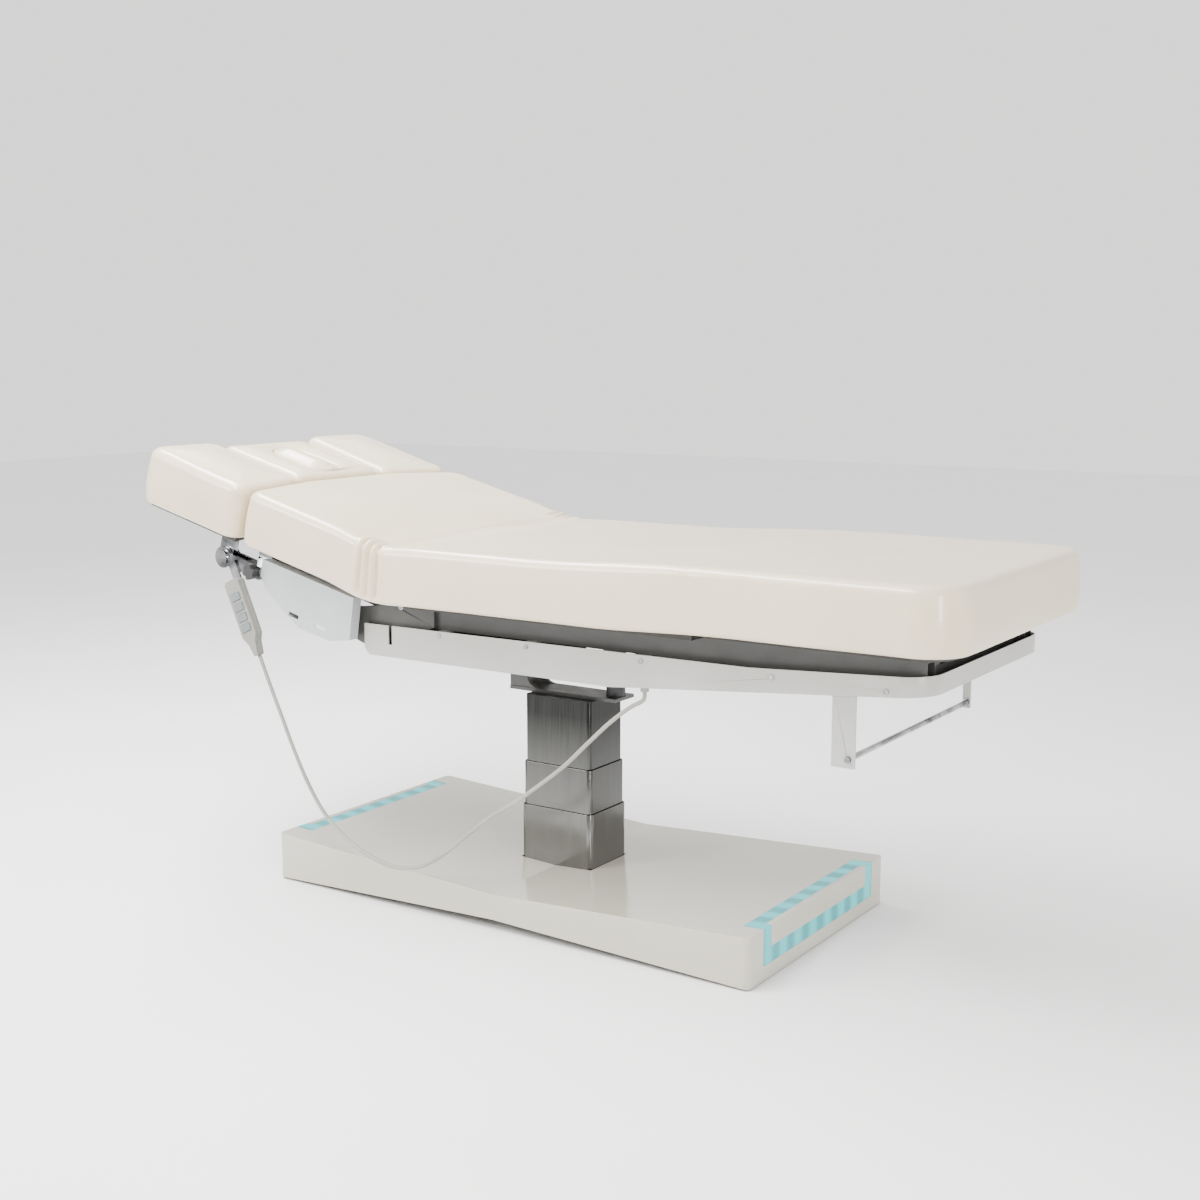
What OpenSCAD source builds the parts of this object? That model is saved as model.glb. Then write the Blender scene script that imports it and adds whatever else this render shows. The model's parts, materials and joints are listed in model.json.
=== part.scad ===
// Electric treatment couch on one telescopic lifting column.
// Origin on the floor, midway along and across the couch.
// +X points to the foot end, +Y to the far side, +Z up. Millimetres.

/* [Mattress] */
// Width of the mattress
mattress_w = 780; // [770:2:800]
// Height of the top of the padding above its underside
pad_t = 125; // [110:1:130]
// Distance from the origin to the foot end of the leg section
foot_x = 1050; // [1030:1:1065]
// Radius of the mattress corners at the foot end
foot_r = 90; // [40:1:120]

/* [Backrest] */
// Rise of the backrest as it stands, in degrees
back_angle = 14.4; // [8:0.1:18]
// Length of the backrest with its head blocks, along its slope
back_l = 785; // [770:1:800]

/* [Base] */
// Length of the floor base
base_l = 1296; // [1240:2:1340]
// Width of the floor base
base_w = 650; // [640:2:652]
// Height of the base cover at its two ends
base_h = 114; // [108:1:120]
// Height of the base cover at mid-length
base_waist = 82; // [80:1:86]
// Height of the arch under the base at mid-length
arch_h = 24; // [15:1:28]
// Width of the light bands at the ends of the base
light_w = 34; // [20:1:36]

/* [Column] */
// Outer length of the lowest column stage, along the couch
column_l = 198; // [196:1:202]
// Outer width of the lowest column stage
column_w = 151; // [150:1:156]

/* [Handset] */
// Width of the handset
handset_w = 48; // [44:1:52]
// Diameter of the handset cord
cord_d = 9; // [5:0.5:12]

/* [Hidden] */
$fn = 64;

// Hinge axes, all across the couch, as [x, z].
back_hinge = [-300, 700];
leg_hinge = [500, 700];
tilt_hinge = [-162, 610];
column_x = -30;

// Heights of the deck boards' tops, where the padding lies.
pad_z = 718;
leg_pad_z = 727;
pad_top = pad_z + pad_t;
half_w = mattress_w / 2;

// Radial clearance of a running fit.
run = 0.05;

// A box between two corners.
module block(lo, hi) {
    translate(lo) cube(hi - lo);
}

// An outline in X and Z, made solid from y0 to y1.
module along_y(y0, y1) {
    translate([0, y1, 0]) rotate([90, 0, 0]) linear_extrude(y1 - y0) children();
}

// A round bar across the couch at p = [x, z].
module bar_y(p, r, y0, y1) {
    translate([p.x, y0, p.y]) rotate([-90, 0, 0]) cylinder(r = r, h = y1 - y0);
}

// A round bar along the couch.
module bar_x(y, z, r, x0, x1) {
    translate([x0, y, z]) rotate([0, 90, 0]) cylinder(r = r, h = x1 - x0);
}

// The shape and its mirror image on the other side of the couch.
module both_sides() {
    children();
    mirror([0, 1, 0]) children();
}

module rounded_rect(lo, hi, r) {
    translate(lo + [r, 0]) square([hi.x - lo.x - 2 * r, hi.y - lo.y]);
    translate(lo + [0, r]) square([hi.x - lo.x, hi.y - lo.y - 2 * r]);
    for (x = [lo.x + r, hi.x - r], y = [lo.y + r, hi.y - r]) translate([x, y]) circle(r);
}

// Places a shape drawn flat on the backrest: the hinge at the origin, head end towards -X.
module on_back() {
    translate([back_hinge.x, 0, back_hinge.y]) rotate([0, back_angle, 0]) children();
}

// ---------- Base ----------

base_wall = 5;
groove = 3.2;
base_lip_z = 4;
base_corner_r = 14;
inlet_x = 130;
inlet_z = 52;
inlet_size = [48, 28];
plate_z = [32, 40];
rail_top = 70;
foot_at = [570, 220];
foot_stud_r = 6;

// Side outline of the base: low at mid-length and arched underneath.
module base_outline(inset, drop) {
    half = base_l / 2 - inset;
    polygon([[-half, base_lip_z - drop], [0, arch_h - drop], [half, base_lip_z - drop],
        [half, base_h - inset], [0, base_waist - inset], [-half, base_h - inset]]);
}

module base_outer() {
    half = [base_l, base_w] / 2;
    intersection() {
        along_y(-half.y, half.y) base_outline(0, 0);
        linear_extrude(base_h) rounded_rect(-half, half, base_corner_r);
    }
}

// The same form drawn in by `inset`, and open below.
module base_inner(inset) {
    half = [base_l, base_w] / 2 - [inset, inset];
    intersection() {
        along_y(-half.y, half.y) base_outline(inset, 60);
        translate([0, 0, -60]) linear_extrude(base_h + 60)
            rounded_rect(-half, half, base_corner_r - inset);
    }
}

// The light band: a loop that wraps over the end edge, on the top and on the end face.
module light_bands(gap) {
    reach = 262;
    end = base_l / 2;
    top_x = end - 48;
    low_z = 34;
    w = light_w + 2 * gap;
    for (side = [0, 1]) mirror([side, 0, 0]) {
        block([top_x - gap, -reach, 70], [top_x - gap + w, reach, base_h + 10]);
        block([end - base_wall - 4, -reach, low_z - gap], [end + 5, reach, low_z - gap + w]);
        for (y = [-reach - gap, reach + gap - w]) {
            block([top_x - gap, y, 85], [end + 5, y + w, base_h + 10]);
            block([end - base_wall - 4, y, low_z - gap], [end + 5, y + w, base_h + 10]);
        }
    }
}

module base_shell() {
    color("#dcd9cf") translate([column_x, 0, 0]) difference() {
        base_outer();
        base_inner(base_wall);
        difference() {
            light_bands(0.2);
            base_inner(groove);
        }
        block([-column_l / 2 - 1, -column_w / 2 - 1, 50], [column_l / 2 + 1, column_w / 2 + 1, 120]);
        block([inlet_x - inlet_size.x / 2, base_w / 2 - 20, inlet_z - inlet_size.y / 2],
            [inlet_x + inlet_size.x / 2, base_w / 2 + 5, inlet_z + inlet_size.y / 2]);
    }
}

module light_diffusers() {
    color("#9fe0e2") translate([column_x, 0, 0]) difference() {
        intersection() {
            base_outer();
            light_bands(0);
        }
        base_inner(groove);
    }
}

module base_rails() {
    color("#4a4d50") translate([column_x, 0, 0]) both_sides() difference() {
        block([-610, 200, plate_z[1]], [610, 240, rail_top]);
        block([-611, 203, plate_z[1] + 3], [611, 237, rail_top - 3]);
        for (x = [-foot_at.x, foot_at.x])
            translate([x, foot_at.y, 30]) cylinder(r = foot_stud_r, h = 20);
    }
}

module base_crossmembers() {
    color("#4a4d50") translate([column_x, 0, 0]) {
        for (x = [-foot_at.x, foot_at.x]) difference() {
            block([x - 20, -200, plate_z[1]], [x + 20, 200, rail_top]);
            block([x - 17, -201, plate_z[1] + 3], [x + 17, 201, rail_top - 3]);
        }
        block([-150, -240, plate_z[0]], [150, 240, plate_z[1]]);
    }
}

module base_feet() {
    color("#2c2d2f") translate([column_x, 0, 0])
        for (x = [-foot_at.x, foot_at.x], y = [-foot_at.y, foot_at.y]) translate([x, y, 0]) {
            cylinder(r = 25, h = 8);
            cylinder(r = foot_stud_r, h = plate_z[1] + 3);
            translate([0, 0, plate_z[1] - 8]) cylinder(r = 11, h = 8, $fn = 6);
        }
}

module power_inlet() {
    wall_y = base_w / 2;
    color("#1d1d1f") translate([column_x + inlet_x, 0, inlet_z]) difference() {
        union() {
            block([-24, wall_y - 30, -14], [24, wall_y, 14]);
            block([-29, wall_y, -17], [29, wall_y + 2, 17]);
        }
        block([-17, wall_y - 18, -9], [17, wall_y + 3, 9]);
    }
}

module control_box() {
    color("#3a3c3f") translate([column_x, 0, 0]) difference() {
        block([-430, -200, 34], [-190, 200, 72]);
        block([-427, -197, 37], [-193, 197, 69]);
    }
}

// ---------- Lifting column ----------

column_wall = 2.5;
column_gap = 1.5;
column_step = column_wall + column_gap;
lower_z = [plate_z[1], 216];
middle_z = [145, 320];
upper_z = [245, 480];
screw_x = 25;

// One stage of the column: a tube that is `stage` steps smaller than the lowest.
module column_tube(stage, z) {
    half = [column_l, column_w] / 2 - [stage, stage] * column_step;
    inner = half - [column_wall, column_wall];
    translate([column_x, 0, z[0]]) difference() {
        linear_extrude(z[1] - z[0]) rounded_rect(-half, half, 12 - stage * 2);
        translate([0, 0, -1]) linear_extrude(z[1] - z[0] + 2)
            rounded_rect(-inner, inner, 9 - stage * 2);
    }
}

// Glide pads on the inner walls of a stage, near its top.
module glide_pads(stage, z) {
    wall = [column_l, column_w] / 2 - [1, 1] * (stage * column_step + column_wall);
    face = wall - [column_gap - run, column_gap - run];
    color("#e8e6df") translate([column_x, 0, 0]) for (side = [0, 1]) mirror([side, 0, 0]) {
        for (y = [-40, 20]) block([face.x, y, z], [wall.x, y + 20, z + 28]);
        mirror([0, side, 0]) for (x = [-60, 30]) block([x, face.y, z], [x + 30, wall.y, z + 28]);
    }
}

module column_lower() {
    color("#77797b") column_tube(0, lower_z);
}

module lower_glides() {
    glide_pads(0, lower_z[1] - 32);
}

module column_middle() {
    color("#6c6e70") column_tube(1, middle_z);
}

module middle_glides() {
    glide_pads(1, middle_z[1] - 32);
}

module column_upper() {
    half = [column_l, column_w] / 2 - [2, 2] * column_step;
    color("#5c5e60") {
        column_tube(2, [upper_z[0], upper_z[1] - 8]);
        translate([column_x, 0, upper_z[1] - 8]) linear_extrude(8) rounded_rect(-half, half, 8);
    }
}

module lift_motor() {
    color("#2f3133") {
        block([column_x - 74, -34, lower_z[0]], [column_x + 60, 34, 58]);
        translate([column_x - 45, 0, 58]) cylinder(r = 24, h = 130);
        translate([column_x - 45, 0, 188]) cylinder(r = 20, h = 8);
    }
}

// One stage of the telescopic lifting screw's housing.
module screw_stage(r_out, r_in, z) {
    translate([column_x + screw_x, 0, z[0]]) difference() {
        cylinder(r = r_out, h = z[1] - z[0]);
        translate([0, 0, -1]) cylinder(r = r_in, h = z[1] - z[0] + 2);
    }
}

module lift_tube() {
    color("#8d9092") screw_stage(30, 26, [58, 240]);
}

module lift_tube_middle() {
    color("#9a9da0") screw_stage(26 - run, 22, [162, 335]);
}

module lift_rod() {
    color("#b5b8bb") screw_stage(22 - run, 15, [262, upper_z[1] - 8]);
}

// ---------- Tilting head of the column ----------

cheek_y = [28, 38];
saddle_z = [upper_z[1], upper_z[1] + 8];
saddle_x = [-186, 112];
tilt_pin_r = 10;
actuator_x = 88;
tilt_pin_z = 605;
tilt_eye_r = 6;

// A base plate with two cheeks at its head end, each with a curved gusset.
module tilt_saddle() {
    upright = 24;
    gusset = 30;
    cheek_x = tilt_hinge.x - upright;
    color("#3f4143") {
        block([saddle_x[0], -40, saddle_z[0]], [saddle_x[1], 40, saddle_z[1]]);
        both_sides() along_y(cheek_y[0], cheek_y[1]) difference() {
            union() {
                translate([cheek_x, saddle_z[1]]) square([2 * upright + gusset, gusset]);
                translate([cheek_x, saddle_z[1]])
                    square([2 * upright, tilt_hinge.y - saddle_z[1]]);
                translate(tilt_hinge) circle(upright);
            }
            translate([tilt_hinge.x + upright + gusset, saddle_z[1] + gusset])
                circle(gusset - 1);
            translate(tilt_hinge) circle(tilt_pin_r + run);
        }
    }
}

module tilt_actuator() {
    color("#2f3133") translate([actuator_x, 0, saddle_z[1]]) difference() {
        union() {
            cylinder(r = 22, h = 78);
            translate([0, 0, 66]) cylinder(r = 25, h = 12);
        }
        translate([0, 0, 6]) cylinder(r = 11 + run, h = 80);
    }
}

module tilt_rod() {
    color("#c9ccce") {
        translate([actuator_x, 0, saddle_z[1] + 8]) cylinder(r = 11, h = tilt_pin_z - saddle_z[1] - 18);
        block([actuator_x - 13, -12, tilt_pin_z - 11], [actuator_x + 13, 12, tilt_pin_z + 11]);
        bar_y([actuator_x, tilt_pin_z], tilt_eye_r, -26, 26);
    }
}

// ---------- Chassis ----------

rail_y = [245, 285];
rail_z = [655, 705];
beam_z = [662, 700];
deck_t = 13;
deck_y = 335;
seat_x = [-262, 485];

module chassis_rails() {
    color("#55585b") both_sides() difference() {
        block([-265, rail_y[0], rail_z[0]], [960, rail_y[1], rail_z[1]]);
        block([-266, rail_y[0] + 3, rail_z[0] + 3], [961, rail_y[1] - 3, rail_z[1] - 3]);
    }
}

// A cross beam between the rails, from x0 to x1.
module beam(x0, x1, top) {
    difference() {
        block([x0, -rail_y[0], beam_z[0]], [x1, rail_y[0], top]);
        block([x0 + 3, -rail_y[0] - 1, beam_z[0] + 3], [x1 - 3, rail_y[0] + 1, top - 3]);
    }
}

// Cross beams. Two carry the tilt lug and the slotted plates for the tilt rod; the last
// two stay low, under the leg section. Eyes for the leg hinge stand on the rails.
module chassis_beams() {
    low_top = 680;
    color("#55585b") {
        difference() {
            union() {
                beam(-187, -137, beam_z[1]);
                along_y(-27, 27) difference() {
                    union() {
                        translate(tilt_hinge) circle(20);
                        translate([tilt_hinge.x - 20, tilt_hinge.y])
                            square([40, beam_z[0] - tilt_hinge.y]);
                    }
                }
            }
            bar_y(tilt_hinge, tilt_pin_r, -30, 30);
        }
        beam(60, 130, beam_z[1]);
        both_sides() along_y(13, 21) difference() {
            translate([66, 590]) square([58, beam_z[0] - 590]);
            translate([actuator_x - 8, tilt_pin_z - 6.6]) square([22, 13.2]);
            for (x = [actuator_x - 8, actuator_x + 14]) translate([x, tilt_pin_z]) circle(6.6);
        }
        beam(330, 370, beam_z[1]);
        for (x = [640, 900]) beam(x, x + 40, low_top);
        both_sides() difference() {
            bar_y(leg_hinge, 14, 237, 245);
            bar_y(leg_hinge, 8, 236, 246);
        }
    }
}

// Dark plates outside the rails that carry the backrest's hinge pins.
module hinge_brackets() {
    color("#3b3d3f") both_sides() along_y(rail_y[1], 295) difference() {
        union() {
            polygon([[-450, 690], [-440, 612], [-405, 600], [-330, 612], [-205, 660],
                [-205, 702], [-330, 702], [-420, 690]]);
            translate(back_hinge) circle(17);
        }
        translate(back_hinge) circle(8);
    }
}

module hinge_pins() {
    color("#c9ccce") {
        bar_y(tilt_hinge, tilt_pin_r, -42, 42);
        both_sides() {
            bar_y(back_hinge, 8, 247, 297);
            bar_y(leg_hinge, 8, 195, 245);
        }
    }
}

apron_y = 309;
apron_wall = 3;
apron_x = [-400, 978];
apron_foot_r = 60;
apron_head_r = 14;
knee_x = 270;
under_z = 583;
gland_at = [350, -293];
roll_at = [815, 505];
roll_plate_y = [302, 306];
apron_screw_x = [-180, 60, 350, 650, 890];
apron_screw_z = 646;
apron_screw_r = 2.5;

// Height of the underside of the chassis cover: flat, then rising to the foot end.
function apron_under(x) = under_z + max(0, x - knee_x) * 59 / (apron_x[1] - knee_x);

// Side outline of the chassis cover, moved up by `lift` and drawn in by `inset`.
module apron_outline(inset, lift) {
    x0 = apron_x[0] + inset;
    x1 = apron_x[1] - inset;
    polygon([[x0, under_z + 14 + lift], [x0 + 14, under_z + lift], [knee_x, under_z + lift],
        [x1, apron_under(x1) + lift], [x1, 680 + 2 * lift], [600, 660 + 2 * lift],
        [x0, 655 + 2 * lift]]);
}

module apron_plan(inset) {
    half = apron_y - inset;
    x0 = apron_x[0] + inset;
    x1 = apron_x[1] - inset;
    r = apron_foot_r - inset;
    translate([x0, -half]) square([x1 - x0 - r, 2 * half]);
    rounded_rect([x1 - 3 * r, -half], [x1, half], r);
}

// An open tray: side walls, ends and underside, with openings for the column head,
// the cord gland and the paper-roll brackets.
module apron() {
    color("#c3c4c2") {
        difference() {
            intersection() {
                along_y(-apron_y, apron_y) apron_outline(0, 0);
                translate([0, 0, 500]) linear_extrude(250) apron_plan(0);
            }
            intersection() {
                along_y(-apron_y, apron_y) apron_outline(apron_wall, apron_wall);
                translate([0, 0, 500]) linear_extrude(250) apron_plan(apron_wall);
            }
            block([-200, -66, under_z - 5], [125, 66, under_z + 10]);
            translate([gland_at.x, gland_at.y, 560]) cylinder(r = 7, h = 60);
            both_sides() block([roll_at.x - 37, roll_plate_y[0] - 1, 600],
                [roll_at.x + 15, roll_plate_y[1], 645]);
            both_sides() block([-328, apron_y - 5, 612], [-318, apron_y + 1, 668]);
            both_sides() block([apron_x[0] - 1, rail_y[1] - 1, 590], [apron_x[0] + 4, 296, 700]);
            for (x = apron_screw_x) both_sides()
                bar_y([x, apron_screw_z], apron_screw_r, apron_y - 5, apron_y + 1);
        }
        both_sides() for (x = apron_screw_x) difference() {
            block([x - 12, rail_y[0] + 10, 638], [x + 12, apron_y - apron_wall, rail_z[0]]);
            block([x - 13, rail_y[0] + 9, 637], [x + 13, rail_y[1], rail_z[0] - 4]);
            bar_y([x, apron_screw_z], apron_screw_r, rail_y[1] - 1, apron_y + 1);
        }
    }
}

module apron_screws() {
    color("#8f9193") both_sides() for (x = apron_screw_x) {
        bar_y([x, apron_screw_z], apron_screw_r, apron_y - 18, apron_y);
        bar_y([x, apron_screw_z], 5, apron_y, apron_y + 2.5);
    }
}

module seat_deck() {
    color("#3a3734") block([seat_x[0], -deck_y, pad_z - deck_t], [seat_x[1], deck_y, pad_z]);
}

// ---------- Padding of seat and legs ----------

// The ends at both hinges slope, so that the padding closes up as the sections rise.
module seat_pad() {
    color("#e9e1d5") along_y(-half_w, half_w) polygon([[-285, pad_z], [488, pad_z],
        [464, leg_pad_z + pad_t + 3], [70, pad_top], [-150, pad_top], [-195, pad_top + 2]]);
}

module leg_deck() {
    color("#3a3734") intersection() {
        block([512, -deck_y, leg_pad_z - deck_t], [foot_x - 40, deck_y, leg_pad_z]);
        translate([0, 0, 700]) linear_extrude(40)
            rounded_rect([400, -deck_y], [foot_x - 40, deck_y], foot_r - 30);
    }
}

module leg_pad() {
    top = leg_pad_z + pad_t + 4;
    color("#e9e1d5") intersection() {
        along_y(-half_w, half_w) polygon([[503, leg_pad_z], [foot_x, leg_pad_z],
            [foot_x, top], [540, top + 1]]);
        translate([0, 0, 700]) linear_extrude(200)
            rounded_rect([300, -half_w], [foot_x, half_w], foot_r);
    }
}

// Frame of the leg section, with the forked and slotted lever of its lift.
module leg_rails() {
    slot_a = -12.5;
    color("#55585b") {
        both_sides() difference() {
            union() {
                block([leg_hinge.x, 197, 686], [950, 233, leg_pad_z - deck_t]);
                bar_y(leg_hinge, 14, 197, 233);
            }
            bar_y(leg_hinge, 8 + run, 190, 240);
        }
        block([520, -197, 686], [546, 197, 712]);
        for (y = [133, 161]) along_y(y, y + 6) difference() {
            union() {
                translate([505, 686]) square([41, 26]);
                translate(leg_hinge) rotate(slot_a) polygon([[-12, -84], [12, -84], [30, -4], [0, 6]]);
            }
            translate(leg_hinge) circle(15);
            translate(leg_hinge) rotate(slot_a) translate([-5.6, -76]) square([11.2, 24]);
        }
    }
}

// ---------- Actuators of backrest and legs ----------

back_rod_at = [-277.5, 630];
leg_rod_at = [486.3, 638];

// A linear drive along the couch, hung from a beam by a lug at lug_x. Its rod leaves at the
// head end, or at the foot end if `to_foot`.
module drive(x0, x1, y, z, r, rod_r, lug_x, to_foot) {
    color("#2f3133") difference() {
        union() {
            bar_x(y, z, r, x0, x1);
            bar_x(y, z, r - 4, x0 - 6, x1 + 6);
            block([lug_x, y - 10, z], [lug_x + 40, y + 10, beam_z[0]]);
        }
        bar_x(y, z, rod_r + run, to_foot ? x0 + 40 : x0 - 10, to_foot ? x1 + 10 : x1 - 40);
    }
}

// A push rod with its flat eye block and cross pin.
module push_rod(at, y, rod_r, x0, x1) {
    color("#c9ccce") {
        bar_x(y, at.y, rod_r, x0, x1);
        block([at.x - 9, y - 8, at.y - 11], [at.x + 9, y + 8, at.y + 11]);
        bar_y(at, 5, y - 18, y + 18);
    }
}

module back_actuator() {
    drive(-215, 90, -150, back_rod_at.y, 24, 10, -155, false);
}

module back_rod() {
    push_rod(back_rod_at, -150, 10, back_rod_at.x + 9, -60);
}

module leg_actuator() {
    drive(150, 425, 150, leg_rod_at.y, 19, 9, 330, true);
}

module leg_rod() {
    push_rod(leg_rod_at, 150, 9, 290, leg_rod_at.x - 9);
}

// ---------- Paper-roll holder ----------

module roll_brackets() {
    top = 650;
    color("#c9cbca") difference() {
        union() {
            block([roll_at.x - 36, -roll_plate_y[1], 487], [roll_at.x + 14, -roll_plate_y[0], top]);
            block([roll_at.x - 9, roll_plate_y[0], 493], [roll_at.x + 9, roll_plate_y[1], top]);
        }
        bar_y(roll_at, 6 + run, -320, 320);
    }
}

module roll_rod() {
    color("#d4d6d6") {
        bar_y(roll_at, 6, -311, 311);
        for (y = [-300, 297]) bar_y(roll_at, 9, y, y + 3);
    }
}

// ---------- Handset cord ----------

handset_top = [-766, -361, 732];
handset_lean = 24.4;
handset_l = 191;
handset_t = 24;

// Route of the cord's centre line, from the handset to the gland under the chassis cover.
handset_tip = handset_top + (handset_l + 0.2) * [sin(handset_lean), 0, -cos(handset_lean)];
cord_route = [handset_tip, [-655, -360, 486], [-620, -359, 412], [-584, -358, 336],
    [-545, -356, 264], [-498, -354, 200], [-438, -352, 152], [-365, -350, 118],
    [-290, -347, 104], [-215, -345, 118], [-148, -343, 158], [-86, -341, 210],
    [-22, -338, 262], [46, -336, 306], [110, -333, 354], [172, -329, 404],
    [226, -322, 458], [276, -312, 508], [318, -301, 543], [346.5, -294, 561],
    [350, -293, 579.8]];
cord_steps = 4;
cord_sides = 8;

// A smooth curve through the route's points, at point i and fraction t of the way to the next.
function route(i) = cord_route[max(0, min(len(cord_route) - 1, i))];
function on_route(i, t) =
    let (a = route(i - 1), b = route(i), c = route(i + 1), d = route(i + 2))
    b + 0.5 * t * (c - a + t * (2 * a - 5 * b + 4 * c - d + t * (3 * (b - c) + d - a)));
function unit(v) = v / norm(v);

cord_line = concat([for (i = [0:len(cord_route) - 2], k = [0:cord_steps - 1])
    on_route(i, k / cord_steps)], [route(len(cord_route))]);

function cord_ring(i) =
    let (last = len(cord_line) - 1,
        along = unit(cord_line[min(i + 1, last)] - cord_line[max(i - 1, 0)]),
        side = unit(cross(along, [0, 1, 0])), up = cross(side, along))
    [for (k = [0:cord_sides - 1]) let (a = 360 * k / cord_sides)
        cord_line[i] + cord_d / 2 * (cos(a) * side + sin(a) * up)];

module handset_cord() {
    n = len(cord_line);
    rings = [for (i = [0:n - 1]) each cord_ring(i)];
    walls = [for (i = [0:n - 2], k = [0:cord_sides - 1]) let (j = (k + 1) % cord_sides,
        a = i * cord_sides) [a + k, a + j, a + j + cord_sides, a + k + cord_sides]];
    ends = [[for (k = [cord_sides - 1:-1:0]) k],
        [for (k = [0:cord_sides - 1]) (n - 1) * cord_sides + k]];
    color("#c9c8c2") polyhedron(rings, concat(walls, ends));
}

module cord_gland() {
    z = apron_under(gland_at.x);
    color("#8f9193") translate([gland_at.x, gland_at.y, 0]) {
        translate([0, 0, 580]) cylinder(r = 9, h = z - 581);
        translate([0, 0, 580]) cylinder(r = 7, h = z - 567);
    }
}

// ---------- Backrest ----------

arm_pivot = [-522, -50];
knob_at = [-414, -50];
arm_cheek_y = [310, 336];
arm_cheek_t = 8;
arm_face_y = arm_cheek_y[1] + arm_cheek_t;
head_pivot = [-466, -8];
cross_z = [-30, 0];

module back_rails() {
    color("#55585b") on_back() both_sides() difference() {
        union() {
            block([-440, 247, -30], [-14, 283, 5]);
            bar_y([0, 0], 17, 247, 283);
        }
        bar_y([0, 0], 8 + run, 240, 290);
    }
}

// The hinge end's cross tube with the forked, slotted lever of the drive, and the head
// end's cross tube with two eyes for the headrest.
module back_crossmembers() {
    color("#55585b") on_back() {
        block([-53, -247, cross_z[0]], [-23, 247, cross_z[1]]);
        for (y = [-168, -138]) along_y(y, y + 6) difference() {
            polygon([[-53, -2], [-20, -2], [46, -44], [68, -78], [48, -96], [16, -72], [-53, -30]]);
            rotate(32.2) translate([-7.6, -97]) square([15.2, 34]);
        }
        block([-440, -247, cross_z[0]], [-412, 247, cross_z[1]]);
        both_sides() along_y(70, 80) difference() {
            union() {
                translate([head_pivot.x, -20]) square([30, 18]);
                translate(head_pivot) circle(12);
            }
            translate(head_pivot) circle(6);
        }
    }
}

module back_deck() {
    color("#3a3734") on_back() translate([0, 0, 5]) linear_extrude(deck_t)
        polygon([[-20, -deck_y], [-432, -deck_y], [-444, -160], [-448, -150],
            [-448, 150], [-444, 160], [-432, deck_y], [-20, deck_y]]);
}

// Outline of the backrest padding: its head edge slants from the sides to the headrest.
module back_pad() {
    color("#e9e1d5") on_back() intersection() {
        along_y(-half_w, half_w) polygon([[-12, 18], [-75, 18 + pad_t], [-490, 18 + pad_t],
            [-490, 18]]);
        linear_extrude(200) polygon([[0, -half_w], [-440, -half_w], [-476, -155], [-481, 0],
            [-476, 155], [-440, half_w], [0, half_w]]);
    }
}

// Side outline of the light covers under the backrest.
module cover_outline(inset) {
    polygon([[-397 + inset, -14 - inset], [-397 + inset, -54 + inset / 2],
        [-370 + inset, -82 + inset],
        [-303 + inset, -115 + inset], [-251 + inset / 2, -137 + inset],
        [-154 - inset / 2, -133 + inset], [-95 - inset, -110 + inset],
        [-105 - inset, -10 - inset]]);
}

module side_covers() {
    color("#cdd2d2") on_back() both_sides() {
        difference() {
            along_y(312, 340) cover_outline(0);
            along_y(311, 337) cover_outline(3);
            for (x = [-290, -205]) block([x, 330, -118], [x + 32, 345, -108]);
        }
        for (x = [-350, -240]) {
            block([x, 309, -60], [x + 20, 337, -40]);
            block([x, 283, -60], [x + 20, 309, -20]);
        }
    }
}

// Clevises at the head end for the two arm blocks, and the holder for the handset.
module arm_brackets() {
    end_x = -397;
    color("#d8dadb") {
        on_back() both_sides() {
            difference() {
                union() {
                    for (y = arm_cheek_y) along_y(y, y + arm_cheek_t) {
                        translate(arm_pivot) circle(26);
                        translate([arm_pivot.x, -66]) square([end_x - arm_pivot.x, 32]);
                    }
                    block([-448, arm_cheek_y[0], -66], [end_x, arm_cheek_y[1], -34]);
                    block([-440, 283, -60], [end_x, arm_cheek_y[0], -10]);
                }
                bar_y(arm_pivot, 8, 300, 350);
                bar_y(knob_at, 5 + run, 300, 350);
            }
            bar_y(arm_pivot, 19, arm_face_y, arm_face_y + 6);
        }
        on_handset() block([-12, handset_t / 2, -60], [12, -handset_top.y - arm_face_y, 45]);
    }
}

module head_end_pins() {
    color("#c9ccce") on_back() both_sides() {
        bar_y(arm_pivot, 8, arm_cheek_y[0], arm_face_y);
        bar_y(head_pivot, 6, 70, 92);
    }
}

module head_plate() {
    color("#3a3734") on_back() {
        difference() {
            block([-760, -135, 6], [-496, 135, 18]);
            face_hole(43, 5, 20);
        }
        both_sides() along_y(81, 91) difference() {
            union() {
                translate([head_pivot.x - 54, -4]) square([54, 10]);
                translate(head_pivot) circle(12);
            }
            translate(head_pivot) circle(6 + run);
        }
    }
}

// The long round-ended hole for the face, of half width r.
module face_hole(r, z0, z1) {
    half_l = 47;
    translate([-626, 0, z0]) linear_extrude(z1 - z0) {
        square([2 * half_l, 2 * r], center = true);
        for (x = [-half_l, half_l]) translate([x, 0]) circle(r);
    }
}

module head_cushion() {
    color("#e9e1d5") on_back() difference() {
        translate([0, 0, 18]) linear_extrude(pad_t) rounded_rect([-772, -151], [-495, 151], 22);
        face_hole(48.5, 10, 200);
    }
}

module face_plug() {
    color("#ece5da") on_back() face_hole(47.5, 19, 18 + pad_t + 2);
}

// ---------- Arm blocks ----------

module arm_board() {
    lug_r = 22;
    color("#3a3734") {
        translate([0, 0, 8]) linear_extrude(10)
            polygon([[-470, 365], [-502, 185], [20 - back_l, 185], [20 - back_l, 365]]);
        along_y(319, 335) difference() {
            union() {
                translate(arm_pivot) circle(lug_r);
                translate([arm_pivot.x - lug_r, arm_pivot.y])
                    square([2 * lug_r, 8 - arm_pivot.y]);
            }
            translate(arm_pivot) circle(8 + run);
        }
    }
}

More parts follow.
